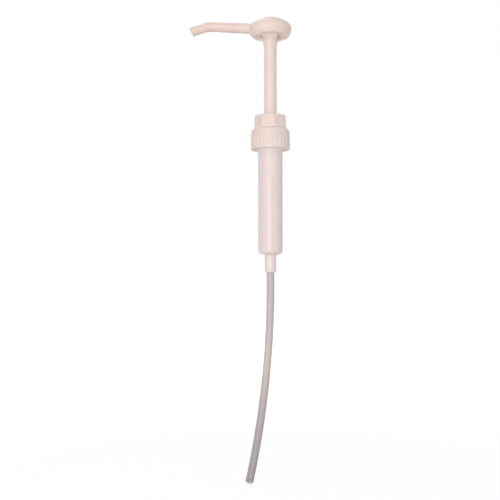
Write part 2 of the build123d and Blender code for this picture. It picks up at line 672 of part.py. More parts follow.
def main():
    os.makedirs("parts", exist_ok=True)
    for piece in PIECES:
        export_step(piece(), f"parts/{piece.__name__}.step")


main()
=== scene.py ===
"""Looks, light and camera for a hand pump that screws on a bottle with a 38 mm neck.

Sizes are written in millimetres and made metres where a mesh is made. +Z runs up the pump's
axis, the spout points along -X, and the origin is where the gasket meets the bottle's lip.
"""
import math

import bpy
import bmesh
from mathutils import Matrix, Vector


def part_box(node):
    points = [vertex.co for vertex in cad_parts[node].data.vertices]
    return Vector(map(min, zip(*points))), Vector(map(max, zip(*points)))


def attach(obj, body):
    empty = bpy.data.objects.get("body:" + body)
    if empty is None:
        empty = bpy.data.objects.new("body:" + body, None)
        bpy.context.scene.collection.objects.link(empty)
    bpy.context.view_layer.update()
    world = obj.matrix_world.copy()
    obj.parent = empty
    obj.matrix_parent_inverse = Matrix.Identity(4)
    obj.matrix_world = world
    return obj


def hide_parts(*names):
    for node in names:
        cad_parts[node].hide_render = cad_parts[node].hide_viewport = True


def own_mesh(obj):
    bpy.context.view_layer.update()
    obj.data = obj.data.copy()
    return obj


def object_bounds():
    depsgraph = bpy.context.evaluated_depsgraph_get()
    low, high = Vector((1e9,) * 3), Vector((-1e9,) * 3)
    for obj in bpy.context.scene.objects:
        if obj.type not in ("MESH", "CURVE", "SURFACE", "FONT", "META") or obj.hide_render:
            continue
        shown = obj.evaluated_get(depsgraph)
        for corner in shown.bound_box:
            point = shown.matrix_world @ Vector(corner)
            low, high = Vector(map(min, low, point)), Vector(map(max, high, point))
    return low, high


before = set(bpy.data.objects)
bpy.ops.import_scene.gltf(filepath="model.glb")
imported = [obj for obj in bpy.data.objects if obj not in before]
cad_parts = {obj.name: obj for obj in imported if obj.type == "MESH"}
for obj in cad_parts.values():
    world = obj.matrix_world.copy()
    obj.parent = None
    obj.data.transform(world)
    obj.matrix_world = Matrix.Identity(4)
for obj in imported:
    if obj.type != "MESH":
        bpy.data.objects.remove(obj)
cad_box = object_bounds()

MM = 0.001

# ---------------------------------------------------------------- sizes, in millimetres
# the barrel, its flange and the tail that takes the suction tube
BORE_R = 11.5
BORE_FLOOR = -119.0
BARREL_R = 12.85
BARREL_FOOT = -121.2
BARREL_ROWS = (-40.0, -80.0)            # divide its long walls
FOOT_R = 3.4
FLANGE_R = 17.5
FLANGE_LOW, FLANGE_TOP = 1.6, 4.0
NECK_R = 14.3
NECK_TOP = 12.6
BEAD_Z, BEAD_H = 10.4, 0.4
TAIL_R = 5.95
TAIL_TOP, TAIL_END = -123.6, -141.2
SOCKET_TOP = -128.2
SEAT_R, SEAT_H, INLET_R = 4.6, 2.0, 2.6
VENT_R, VENT_Z = 0.75, -7.4
VENT_PAST_WALL = 1.0                    # how far the vent's cutter stands out

# the closure, with its thread and its flutes
CLOSURE_R = 20.6
CLOSURE_LOW, CLOSURE_TOP = -13.3, 8.4
CLOSURE_CEILING = 4.2
CLOSURE_SHOULDER = 3.2
LEAN = math.tan(math.radians(2.2))
THREAD_BORE_R = 18.95
UPPER_BORE_R, UPPER_BORE_LOW = 18.1, -1.3
CLOSURE_HOLE_R = 14.6
THREAD_PITCH, THREAD_TURNS, THREAD_START = 4.233, 1.3, -9.9
THREAD_DEPTH, THREAD_ROOT_W, THREAD_CREST_W = 1.2, 2.2, 0.9
THREAD_SUNK = 0.05                      # of its root, in the wall
THREAD_RUN_IN = 1 / 18                  # a share of its length, at each end
FLUTES, FLUTE_R, FLUTE_DEPTH = 24, 2.0, 0.45
FLUTE_LOW, FLUTE_L = 2.7, 9.2
FLUTE_SOFT = 0.12                       # rounds the flutes' edges

# the collar over the barrel's neck
COLLAR_SIDES, COLLAR_FLAT_R, COLLAR_CORNER = 8, 16.0, 3.0
COLLAR_CORNER_R = COLLAR_FLAT_R / math.cos(math.pi / COLLAR_SIDES)
COLLAR_LOW, COLLAR_TOP = 8.6, 22.4
COLLAR_TURN = -99.0
COLLAR_ROUND = 1.0                      # rounds the rim of its top
COLLAR_SOFT = 0.6                       # rounds the edge between its side and the cone
CONE_H, CONE_IN = 5.4, 1.5
COLLAR_RECESS_R, COLLAR_RECESS_TOP = 14.4, 14.0
GROOVE_R, GROOVE_H = NECK_R + 0.5, 0.45     # takes the neck's bead
WIPER_RECESS_R, WIPER_TOP = 10.5, 18.2
STEM_GAP = 0.06

# the stem, with the cross that stops the outlet ball
STEM_R, STEM_BORE_R, STEM_LOW = 6.6, 4.3, -13.0
STEM_ROW = 40.0                         # divides its long side
SHOULDER_R, SHOULDER_LOW, SHOULDER_TOP = 10.6, -1.65, 0.55
FLARE_R, FLARE_LOW, FLARE_HIGH, STEM_TOP = 7.75, 95.0, 100.2, 108.05
STEM_SOCKET_R, STEM_SOCKET_LOW = 5.6, 98.05
STOP_BAR_W, STOP_BAR_LOW, STOP_BAR_H = 1.3, 1.85, 1.5
STOP_BAR_SUNK = 0.6                     # of its ends, in the wall

# the suction tube
TUBE_R, TUBE_WALL = 4.0, 1.2
TUBE_BEND_START = -155.5
TUBE_BEND_R = 580.0
TUBE_BEND_ANGLE = math.radians(19.62)
TUBE_BEND_TO = math.radians(-129.5)
TUBE_CUT = math.tan(math.radians(28.0))
TUBE_LONG_SIDE = TUBE_R * TUBE_CUT      # past the middle of the cut

# the spout's bore, with the corners of its middle line in X and Z
SPOUT_BORE_R = 2.8
SPOUT_LINE = ((0, 113.7), (-66.2, 116.88), (-83.0, 111.26))
SPOUT_BORE_SPARE = 0.6                  # takes in its whole wall, at the bend too

# the return spring
SPRING_R, WIRE_R, SPRING_TURNS = 8.5, 0.65, 12
END_PITCH, END_TURNS, RAMP_TURNS = 1.9, 1.0, 0.5

# how finely the meshes are divided
FLUTE_COLUMNS, COLLAR_SIDE_COLUMNS = 22, 40
BARREL_COLUMNS, STEM_COLUMNS, TUBE_COLUMNS, VENT_COLUMNS = 160, 128, 56, 32
CLOSURE_ROWS, COLLAR_ROWS, THREAD_ROWS = 64, 26, 96
BEND_ROWS, CUT_ROWS, CUT_ROWS_H = 90, 3, 0.9
COIL_POINTS, WIRE_POINTS = 40, 14
FLARE_STEPS = 10
SHARP_EDGE = math.radians(32)


# ---------------------------------------------------------------- node benches
class Signal:
    """The value on one socket. Sums on it add Math nodes to its tree."""

    def __init__(self, bench, socket):
        self.bench, self.socket = bench, socket

    def maths(self, operation, *others, clamp=False):
        settings = {"operation": operation, "use_clamp": clamp}
        values = dict(enumerate((self, *others)))
        return self.bench.add("ShaderNodeMath", settings, values).out()

    def __add__(self, other):
        return self.maths("ADD", other)

    __radd__ = __add__

    def __sub__(self, other):
        return self.maths("SUBTRACT", other)

    def __rsub__(self, other):
        return (self * -1) + other

    def __mul__(self, other):
        return self.maths("MULTIPLY", other)

    __rmul__ = __mul__

    def __truediv__(self, other):
        return self.maths("DIVIDE", other)

    def __rtruediv__(self, other):
        return self.maths("POWER", -1.0) * other

    def clamped(self):
        return self.maths("ADD", 0.0, clamp=True)


class Made:
    """A node that has been added, with its outlets by name or number."""

    def __init__(self, bench, node):
        self.bench, self.node = bench, node

    def out(self, name=0):
        return Signal(self.bench, self.node.outputs[name])


class Bench:
    """Adds nodes to one tree."""

    def __init__(self, tree):
        self.tree = tree

    def feed(self, socket, value):
        if isinstance(value, Made):
            value = value.out()
        if isinstance(value, Signal):
            self.tree.links.new(value.socket, socket)
        else:
            socket.default_value = value

    def add(self, kind, settings=None, sockets=None):
        """One node of this kind: first its settings, then its sockets' values or links."""
        node = self.tree.nodes.new(kind)
        for name, value in (settings or {}).items():
            if name == "stops":
                elements = node.color_ramp.elements
                while len(elements) < len(value):
                    elements.new(0.5)
                for element, (position, colour) in zip(elements, value):
                    element.position, element.color = position, colour
            else:
                setattr(node, name, value)
        for name, value in (sockets or {}).items():
            self.feed(node.inputs[name], value)
        return Made(self, node)

    def split(self, vector):
        made = self.add("ShaderNodeSeparateXYZ", None, {0: vector})
        return made.out("X"), made.out("Y"), made.out("Z")

    def joined(self, x, y, z):
        return self.add("ShaderNodeCombineXYZ", None, {0: x, 1: y, 2: z}).out()

    def between(self, share, low, high):
        """Colour between low and high."""
        sockets = {0: share, 6: low, 7: high}
        return self.add("ShaderNodeMix", {"data_type": "RGBA"}, sockets).out(2)

    def seen(self):
        """1 where a camera, a gloss or glass looks, 0 where the surface lights others."""
        paths = self.add("ShaderNodeLightPath")
        camera, gloss = paths.out("Is Camera Ray"), paths.out("Is Glossy Ray")
        return (camera + gloss + paths.out("Is Transmission Ray")).clamped()


# ---------------------------------------------------------------- finishes
BLACK, WHITE = (0, 0, 0, 1), (1, 1, 1, 1)


def srgb(red, green, blue):
    """A colour as a designer reads it, 0 to 255, as the linear colour that shaders take."""
    def linear(value):
        value /= 255
        return value / 12.92 if value <= 0.04045 else ((value + 0.055) / 1.055) ** 2.4
    return linear(red), linear(green), linear(blue), 1.0


def shaded(colour, share):
    return tuple(min(1.0, part * share) for part in colour[:3]) + (1.0,)


class Finish(Bench):
    """A material on the Principled shader. Its patterns follow the piece's own coordinates."""

    def __init__(self, name, **constants):
        self.material = bpy.data.materials.new(name)
        self.material.use_nodes = True
        super().__init__(self.material.node_tree)
        self.tree.nodes.clear()
        self.shader = self.add("ShaderNodeBsdfPrincipled")
        self.set(**constants)
        self.add("ShaderNodeOutputMaterial", None, {"Surface": self.shader})
        self.place = self.add("ShaderNodeTexCoord").out("Object")

    def set(self, **values):
        for socket, value in values.items():
            self.feed(self.shader.node.inputs[socket.replace("_", " ")], value)

    def noise(self, scale, detail=2.0, stretch=None):
        """Noise from 0 to 1. Scale is in features to the metre, and stretch is a share of it
        on each axis."""
        where = self.place
        if stretch:
            sockets = {"Vector": where, "Scale": stretch}
            where = self.add("ShaderNodeMapping", None, sockets)
        return self.add("ShaderNodeTexNoise", None, {
            "Vector": where, "Scale": scale, "Detail": detail, "Roughness": 0.5}).out(0)

    def clouded(self, pattern, tone, darkest, lightest=1.0):
        """The tone, made darker or lighter by a pattern."""
        return self.between(pattern, shaded(tone, darkest), shaded(tone, lightest))

    def bump(self, height, distance):
        """Small relief, distance in metres for a height of 1."""
        self.set(Normal=self.add("ShaderNodeBump", None, {
            "Height": height, "Distance": distance, "Strength": 1.0}))

    # a marked bore's share of the painted glow
    def painted_bore_glow(self):
        return self.add("ShaderNodeAttribute", {"attribute_name": "bore"}).out("Fac")

    def faces_hollow(self, reach):
        """1 on faces nearer to the axis than reach that look inwards or, but for a rim, down:
        where a hollow's painted glow goes.
        """
        rim, quick = 4.0, -3.0
        x, y, _ = self.split(self.place)
        to_x, to_y, to_z = self.split(self.add("ShaderNodeTexCoord").out("Normal"))
        radius = (x * x + y * y).maths("SQRT")
        inwards = ((x * to_x + y * to_y) / (radius + 1e-5) * quick).clamped()
        down = (to_z * quick - 1).clamped() * (((reach - rim) * MM - radius) / MM).clamped()
        near = ((reach * MM - radius) / MM).clamped()
        return near * inwards.maths("MAXIMUM", down)

    def paint_hollow_glow(self, light, low, full, reach=None, bore_light=None):
        """A painted glow, on the emission colour, in place of daylight soaking through the thin
        wall round a hollow: none at the height low, all of it from full on. With a reach, only the
        hollow's own faces take it. A bore that its mesh marks takes a painted glow of its own."""
        height = self.split(self.place)[2]
        share = ((height - low * MM) / ((full - low) * MM)).clamped()
        if reach:
            share = share * self.faces_hollow(reach)
        glow = self.between(share, BLACK, (*light, 1))
        if bore_light:
            glow = self.between(self.painted_bore_glow(), glow, (*bore_light, 1))
        self.set(Emission_Color=glow)


def moulded(name, tone, roughness=0.42, spout_tone=None, **hollow):
    """Satin polypropylene: soft clouding, faint flow along the moulding and a fine peel. A spout
    tone takes over from the edge of the head outwards. Hollow settings add a painted glow where
    shade falls."""
    spout_start, spout_full = 22.0, 42.0
    darkest, lightest = 0.965, 1.03
    finish = Finish(name, IOR=1.49, Specular_IOR_Level=0.42, Subsurface_Weight=0.35,
                    Subsurface_Radius=(1.0, 0.8, 0.7), Subsurface_Scale=0.003,
                    Emission_Strength=1.0 if hollow else 0.0)
    cloud = finish.noise(55.0, detail=3.0)
    flow = finish.noise(240.0, stretch=(1.0, 1.0, 0.12))
    speck = finish.noise(3200.0, detail=1.0)
    pattern = (cloud * 0.7 + flow * 0.3).clamped()
    paint = finish.clouded(pattern, tone, darkest, lightest)
    if spout_tone:
        outwards = finish.split(finish.place)[0] * -1 - spout_start * MM
        share = (outwards / ((spout_full - spout_start) * MM)).clamped()
        spout = finish.clouded(pattern, spout_tone, darkest, lightest)
        paint = finish.between(share, paint, spout)
    finish.set(Base_Color=paint)
    finish.set(Roughness=(flow * 0.12 + cloud * 0.08 + (roughness - 0.1)).clamped())
    finish.bump(speck * 0.5 + flow * 0.5, 0.025 * MM)
    # a painted glow in the hollow, in place of light through the thin wall
    if hollow:
        finish.paint_hollow_glow(**hollow)
    return finish.material


def tube_plastic(name):
    """Cloudy natural polyethylene with lines along it from the die, and painted shade that greys
    it towards the low end, with a painted highlight band below the top. Its bore has a painted
    glow in place of light through the wall."""
    painted_shade_top, painted_shade_end = -145.0, -355.0
    finish = Finish(name, IOR=1.51, Specular_IOR_Level=0.4, Emission_Strength=1.0)
    cloud = finish.noise(70.0, detail=3.0)
    lines = finish.noise(900.0, detail=1.0, stretch=(1.0, 1.0, 0.02))
    below = finish.split(finish.place)[2] * -1 + painted_shade_top * MM
    down = (below / ((painted_shade_top - painted_shade_end) * MM)).clamped()
    # painted shade down the tube, with a painted highlight band
    painted_light_ramp = finish.add("ShaderNodeValToRGB", {"stops": [
        (0.2, srgb(198, 188, 192)), (0.43, srgb(210, 195, 189)),
        (0.66, srgb(183, 174, 174)), (1.0, srgb(162, 155, 154)),
    ]}, {0: down})
    finish.set(Base_Color=finish.between(cloud * 0.06, painted_light_ramp, WHITE))
    finish.set(Roughness=(lines * 0.2 + 0.3).clamped())
    finish.bump(lines * 0.7 + cloud * 0.3, 0.02 * MM)
    # a painted glow in the bore
    bore_light = (0.09, 0.095, 0.095, 1)
    finish.set(Emission_Color=finish.between(finish.painted_bore_glow(), BLACK, bore_light))
    return finish.material


def rubber(name):
    """Black nitrile, matt with a fine grain."""
    finish = Finish(name, IOR=1.5, Specular_IOR_Level=0.3)
    cloud = finish.noise(160.0, detail=3.0)
    finish.set(Base_Color=finish.between(cloud, srgb(30, 30, 32), srgb(44, 43, 44)))
    finish.set(Roughness=(cloud * 0.15 + 0.55).clamped())
    finish.bump(finish.noise(2600.0), 0.03 * MM)
    return finish.material


def steel(name, tone, roughness, scale):
    """Bright stainless steel with drawing or rolling marks."""
    finish = Finish(name, Metallic=1.0)
    marks = finish.noise(scale, detail=3.0)
    finish.set(Base_Color=finish.clouded(finish.noise(300.0), tone, 0.92))
    finish.set(Roughness=(marks * 0.12 + roughness).clamped())
    finish.bump(marks, 0.008 * MM)
    return finish.material


# the light settings paint a glow as emission where shade falls: in the head's hollow and spout
# bore, on the stem's top inside it, under the collar, inside the closure and on the barrel beneath
# it
finishes = {
    "head": moulded(
        "moulding_head", srgb(243, 223, 215), spout_tone=srgb(241, 216, 207),
        light=(0.15, 0.18, 0.175), low=104.0, full=105.5, reach=21.0,
        bore_light=(0.025, 0.06, 0.07)),
    "stem": moulded(
        "moulding_stem", srgb(243, 224, 216), roughness=0.36,
        light=(0.135, 0.135, 0.13), low=103.0, full=107.0),
    "collar": moulded(
        "moulding_collar", srgb(241, 221, 214),
        light=(0.08, 0.08, 0.08), low=9.5, full=8.7),
    "closure": moulded(
        "moulding_closure", srgb(240, 222, 215),
        light=(0.09, 0.105, 0.105), low=-14.0, full=-12.5, reach=20.0),
    "barrel": moulded(
        "moulding_barrel", srgb(244, 225, 222), roughness=0.3,
        light=(0.14, 0.15, 0.15), low=-17.0, full=-12.0),
    "bearing": moulded("bearing_acetal", srgb(236, 229, 212), roughness=0.34),
    "tube": tube_plastic("tube_polyethylene"),
    "rubber": rubber("nitrile_black"),
    "spring": steel("spring_wire", srgb(196, 194, 190), 0.24, 900.0),
    "ball": steel("ball_polished", srgb(208, 207, 205), 0.1, 2200.0),
}


# ---------------------------------------------------------------- meshes
def mesh_of(shape, name):
    """What the shape holds, as a mesh."""
    mesh = bpy.data.meshes.new(name)
    shape.to_mesh(mesh)
    shape.free()
    return mesh


def piece_from(name, mesh, finish):
    """An object at the origin, smooth but for its real edges."""
    mesh.name = name
    mesh.materials.clear()
    mesh.materials.append(finishes[finish])
    mesh.polygons.foreach_set("material_index", [0] * len(mesh.polygons))
    mesh.polygons.foreach_set("use_smooth", [True] * len(mesh.polygons))
    mesh.set_sharp_from_angle(angle=SHARP_EDGE)
    piece = bpy.data.objects.new(name, mesh)
    bpy.context.scene.collection.objects.link(piece)
    return piece


def skinned(name, sections, endless=False):
    """A mesh through rings of points. Its ends are closed, or it is endless and they meet."""
    shape = bmesh.new()
    rings = [[shape.verts.new(place) for place in section] for section in sections]
    for low, high in zip(rings, rings[1:] + rings[:1] if endless else rings[1:]):
        for c in range(len(low)):
            after = (c + 1) % len(low)
            shape.faces.new([low[c], low[after], high[after], high[c]])
    if not endless:
        shape.faces.new(rings[0])
        shape.faces.new(rings[-1])
    bmesh.ops.remove_doubles(shape, verts=shape.verts, dist=1e-8)
    bmesh.ops.recalc_face_normals(shape, faces=shape.faces)
    return mesh_of(shape, name)


def circle(columns):
    """The cosine and sine of even turns."""
    turns = [2 * math.pi * c / columns for c in range(columns)]
    return [(math.cos(turn), math.sin(turn)) for turn in turns]


def rounded(corners):
    """A loop of corner points (radius, height, rounding) as a run of points, each rounding as an
    arc. A small rounding has a point past each end, which keeps the faces beside it plain."""
    small, past_end = 1, 0.25
    run = []
    for i, (r, z, rounding) in enumerate(corners):
        at = Vector((r, z))
        if not rounding:
            run.append(at)
            continue
        before = (Vector(corners[i - 1][:2]) - at).normalized()
        after = (Vector(corners[(i + 1) % len(corners)][:2]) - at).normalized()
        half = before.angle(after) / 2
        back = rounding / math.tan(half)
        centre = at + (before + after).normalized() * (rounding / math.sin(half))
        start, end = at + before * back - centre, at + after * back - centre
        steps = max(3, min(14, round(3 + rounding * 2)))
        sweep = start.angle_signed(end)
        if rounding < small:
            run.append(at + before * (back + rounding * past_end))
        for k in range(steps + 1):
            turn = -sweep * k / steps
            cos, sin = math.cos(turn), math.sin(turn)
            turned = Vector((start.x * cos - start.y * sin, start.x * sin + start.y * cos))
            run.append(centre + turned)
        if rounding < small:
            run.append(at + after * (back + rounding * past_end))
    return run


def turned_mesh(corners, columns):
    """Mesh turned about Z from a loop of corner points."""
    turns = circle(columns)
    return skinned("turned", [
        [(point.x * MM * cos, point.x * MM * sin, point.y * MM) for cos, sin in turns]
        for point in rounded(corners)], endless=True)


def cad_copy(node):
    """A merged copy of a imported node's mesh."""
    shape = bmesh.new()
    shape.from_mesh(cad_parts[node].data)
    bmesh.ops.remove_doubles(shape, verts=shape.verts, dist=1e-6)
    bmesh.ops.dissolve_degenerate(shape, edges=shape.edges, dist=1e-7)
    mesh = mesh_of(shape, node)
    for layer in list(mesh.attributes):
        if layer.name == "custom_normal":
            mesh.attributes.remove(layer)
    return mesh


def combined(mesh, tool, operation):
    """The mesh with a tool's mesh cut from it or joined to it."""
    base = bpy.data.objects.new("base", mesh)
    other = bpy.data.objects.new("tool", tool)
    for thing in (base, other):
        bpy.context.scene.collection.objects.link(thing)
    cut = base.modifiers.new("cut", "BOOLEAN")
    cut.operation, cut.solver, cut.object = operation, "EXACT", other
    seen = base.evaluated_get(bpy.context.evaluated_depsgraph_get())
    result = bpy.data.meshes.new_from_object(seen)
    base.modifiers.remove(cut)
    bpy.data.objects.remove(base)
    bpy.data.objects.remove(other)
    return result


def mark_glowing_bore(mesh, within):
    """Marks the points of a bore, which takes a painted glow in place of daylight through the
    wall.
    """
    marks = mesh.attributes.new("bore", "FLOAT", "POINT")
    for vertex, mark in zip(mesh.vertices, marks.data):
        mark.value = float(within(vertex.co))


def stretch_of(low, high, rows):
    """Places from low to high, in even rows."""
    return [low + (high - low) * k / rows for k in range(rows + 1)]


# ---------------------------------------------------------------- shapes by rule
class Rule(Bench):
    """A Geometry Nodes tree with named sizes, used once on a piece and turned into its mesh."""

    def __init__(self, name, sizes):
        super().__init__(bpy.data.node_groups.new(name, "GeometryNodeTree"))
        self.sizes = sizes
        faces = self.tree.interface
        faces.new_socket("Geometry", in_out="INPUT", socket_type="NodeSocketGeometry")
        faces.new_socket("Finish", in_out="INPUT", socket_type="NodeSocketMaterial")
        for size, value in sizes.items():
            kind = "NodeSocketInt" if isinstance(value, int) else "NodeSocketFloat"
            faces.new_socket(size, in_out="INPUT", socket_type=kind)
        faces.new_socket("Geometry", in_out="OUTPUT", socket_type="NodeSocketGeometry")
        self.inlet = self.add("NodeGroupInput")

    def size(self, name):
        return self.inlet.out(name)

    def position(self):
        return self.split(self.add("GeometryNodeInputPosition"))

    def polar_position(self):
        """Distance from the axis, angle round it in radians, and height."""
        x, y, z = self.position()
        return (x * x + y * y).maths("SQRT"), y.maths("ARCTAN2", x), z

    def at_polar(self, radius, angle, height):
        return self.joined(radius * angle.maths("COSINE"), radius * angle.maths("SINE"), height)

    def moved(self, geometry, position):
        return self.add("GeometryNodeSetPosition", None, {
            "Geometry": geometry, "Position": position})

    def close(self, geometry):
        """Realizes what was made and gives it its finish."""
        whole = self.add("GeometryNodeRealizeInstances", None, {"Geometry": geometry})
        done = self.add("GeometryNodeSetMaterial", None, {
            "Geometry": whole, "Material": self.size("Finish")})
        self.add("NodeGroupOutput", None, {0: done})

    def make(self, name, finish, start=None):
        """Runs the rule on a start mesh and gives the plain mesh piece."""
        start = start or bpy.data.meshes.new(name + "_start")
        carrier = bpy.data.objects.new(name + "_start", start)
        bpy.context.scene.collection.objects.link(carrier)
        step = carrier.modifiers.new("rule", "NODES")
        step.node_group = self.tree
        values = {"Finish": finishes[finish], **self.sizes}
        for item in self.tree.interface.items_tree:
            if item.in_out == "INPUT" and item.name in values:
                step[item.identifier] = values[item.name]
        seen = carrier.evaluated_get(bpy.context.evaluated_depsgraph_get())
        mesh = bpy.data.meshes.new_from_object(seen)
        carrier.modifiers.remove(step)
        bpy.data.objects.remove(carrier)
        return piece_from(name, mesh, finish)


def closure_rule():
    """Presses upright flutes with round ends into the closure's side."""
    rule = Rule("closure_flutes", {
        "Flutes": FLUTES, "Flute radius": FLUTE_R * MM, "Flute depth": FLUTE_DEPTH * MM,
        "Low end": (CLOSURE_LOW + FLUTE_LOW) * MM,
        "High end": (CLOSURE_LOW + FLUTE_LOW + FLUTE_L) * MM,
        "Side radius": CLOSURE_R * MM, "Lean": LEAN, "Bottom": CLOSURE_LOW * MM,
    })
    skin = 0.3 * MM
    radius, angle, height = rule.polar_position()
    step = 2 * math.pi / rule.size("Flutes").maths("MAXIMUM", 1)
    side = ((angle / step).maths("FRACT") - 0.5) * step * radius
    over = (height - rule.size("High end")).maths("MAXIMUM", 0.0)
    under = (rule.size("Low end") - height).maths("MAXIMUM", 0.0)
    away = side * side + over * over + under * under
    wall = rule.size("Side radius") - (height - rule.size("Bottom")) * rule.size("Lean")
    flute = rule.size("Flute radius")
    middle = wall + flute - rule.size("Flute depth")
    reach = (flute * flute - away).maths("MAXIMUM", 0.0).maths("SQRT")
    pressed = radius.maths("SMOOTH_MIN", middle - reach, FLUTE_SOFT * MM)
    outer = radius.maths("GREATER_THAN", wall - skin)
    inside = away.maths("LESS_THAN", flute * flute)
    fluted = rule.at_polar(radius + (pressed - radius) * outer * inside, angle, height)
    rule.close(rule.moved(rule.size("Geometry"), fluted))
    return rule


def closure_start():
    """The closure before its flutes, with many rows up its side."""
    def side_r(z):
        return CLOSURE_R - LEAN * (z - CLOSURE_LOW)
    low_edge, high_edge = 0.7, CLOSURE_SHOULDER + 0.4
    side = stretch_of(CLOSURE_LOW + low_edge, CLOSURE_TOP - high_edge, CLOSURE_ROWS)
    return turned_mesh([
        (CLOSURE_HOLE_R, CLOSURE_CEILING, 0.2),
        (UPPER_BORE_R, CLOSURE_CEILING, 0),
        (UPPER_BORE_R, UPPER_BORE_LOW, 0),
        (THREAD_BORE_R, UPPER_BORE_LOW - (THREAD_BORE_R - UPPER_BORE_R), 0),
        (THREAD_BORE_R, CLOSURE_LOW, 0.3),
        (CLOSURE_R, CLOSURE_LOW, 0.5),
        *((side_r(z), z, 0) for z in side),
        (side_r(CLOSURE_TOP), CLOSURE_TOP, CLOSURE_SHOULDER),
        (CLOSURE_HOLE_R, CLOSURE_TOP, 0.3),
    ], columns=FLUTES * FLUTE_COLUMNS)


def thread_rule():
    """The ridge that engages the bottle's thread, run in at both ends."""
    rule = Rule("closure_thread", {
        "Bore radius": THREAD_BORE_R * MM, "Pitch": THREAD_PITCH * MM, "Turns": THREAD_TURNS,
        "Start": THREAD_START * MM, "Depth": THREAD_DEPTH * MM, "Sunk": THREAD_SUNK * MM,
        "Root width": THREAD_ROOT_W * MM, "Crest width": THREAD_CREST_W * MM,
    })
    along, across, up = rule.position()
    root, crest, sunk = rule.size("Root width"), rule.size("Crest width"), rule.size("Sunk")
    run_in = (along.maths("MINIMUM", 1.0 - along) / THREAD_RUN_IN).clamped()
    width = root + (crest - root) * across
    radius = rule.size("Bore radius") + sunk - (rule.size("Depth") + sunk) * across * run_in
    angle = along * rule.size("Turns") * (2 * math.pi)
    height = rule.size("Start") + rule.size("Pitch") * rule.size("Turns") * along + up * width
    rule.close(rule.moved(rule.size("Geometry"), rule.at_polar(radius, angle, height)))
    return rule


def thread_start():
    """A bar along X from 0 to 1. Y is 0 at the ridge's root and 1 at its crest."""
    section = [(0, -0.5), (0.5, -0.5), (1, -0.5), (1, 0.5), (0.5, 0.5), (0, 0.5)]
    places = stretch_of(0, 1, THREAD_ROWS)
    return skinned("strip", [[(x, y, z) for y, z in section] for x in places])


def collar_rule():
    """Draws a turned ring in to flats with round corners, and takes the corners off at the top."""
    rule = Rule("collar_flats", {
        "Sides": COLLAR_SIDES, "Flat radius": COLLAR_FLAT_R * MM,
        "Corner radius": COLLAR_CORNER_R * MM, "Corner rounding": COLLAR_CORNER * MM,
        "Turn": math.radians(COLLAR_TURN), "Cone starts": (COLLAR_TOP - CONE_H) * MM,
        "Cone slope": CONE_IN / CONE_H,
    })
    skin, cone_out = 0.8 * MM, 0.1 * MM
    flat_r, full_r = rule.size("Flat radius"), rule.size("Corner radius")
    rounding = rule.size("Corner rounding")
    radius, angle, height = rule.polar_position()
    step = 2 * math.pi / rule.size("Sides").maths("MAXIMUM", 3)
    from_flat = ((angle - rule.size("Turn")) / step + 0.5).maths("FRACT") - 0.5
    spin = (from_flat * step).maths("ABSOLUTE")
    half = step / 2
    off = half - spin
    centre = (flat_r - rounding) / half.maths("COSINE")
    along, aside = off.maths("COSINE") * centre, off.maths("SINE") * centre
    corner = along + (rounding * rounding - aside * aside).maths("MAXIMUM", 0.0).maths("SQRT")
    flat = flat_r / spin.maths("COSINE")
    reach_flat = (flat_r - rounding) * half.maths("TANGENT")
    on_corner = (spin.maths("TANGENT") * flat_r).maths("GREATER_THAN", reach_flat)
    outline = flat + (corner - flat) * on_corner
    above = (height - rule.size("Cone starts")).maths("MAXIMUM", 0.0)
    cone = full_r + cone_out - above * rule.size("Cone slope")
    limit = outline.maths("SMOOTH_MIN", cone, COLLAR_SOFT * MM)
    outer = radius.maths("GREATER_THAN", flat_r - skin)
    drawn = rule.at_polar(radius + (limit - full_r) * outer, angle, height)
    rule.close(rule.moved(rule.size("Geometry"), drawn))
    return rule


def collar_start():
    """The collar as a round ring, as wide as across its corners."""
    low_edge = 0.6
    side = stretch_of(COLLAR_LOW + low_edge, COLLAR_TOP - COLLAR_ROUND, COLLAR_ROWS)
    return turned_mesh([
        (COLLAR_RECESS_R, COLLAR_LOW, 0.2), (COLLAR_CORNER_R, COLLAR_LOW, 0.06),
        *((COLLAR_CORNER_R, z, 0) for z in side), (COLLAR_CORNER_R, COLLAR_TOP, COLLAR_ROUND),
        (STEM_R + STEM_GAP, COLLAR_TOP, 0.35), (STEM_R + STEM_GAP, WIPER_TOP, 0.1),
        (WIPER_RECESS_R, WIPER_TOP, 0), (WIPER_RECESS_R, COLLAR_RECESS_TOP, 0),
        (COLLAR_RECESS_R, COLLAR_RECESS_TOP, 0), (COLLAR_RECESS_R, BEAD_Z + GROOVE_H, 0),
        (GROOVE_R, BEAD_Z, 0), (COLLAR_RECESS_R, BEAD_Z - GROOVE_H, 0),
    ], columns=COLLAR_SIDES * COLLAR_SIDE_COLUMNS)


def frame_low_high(node):
    low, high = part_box(node)
    return low[2], high[2]


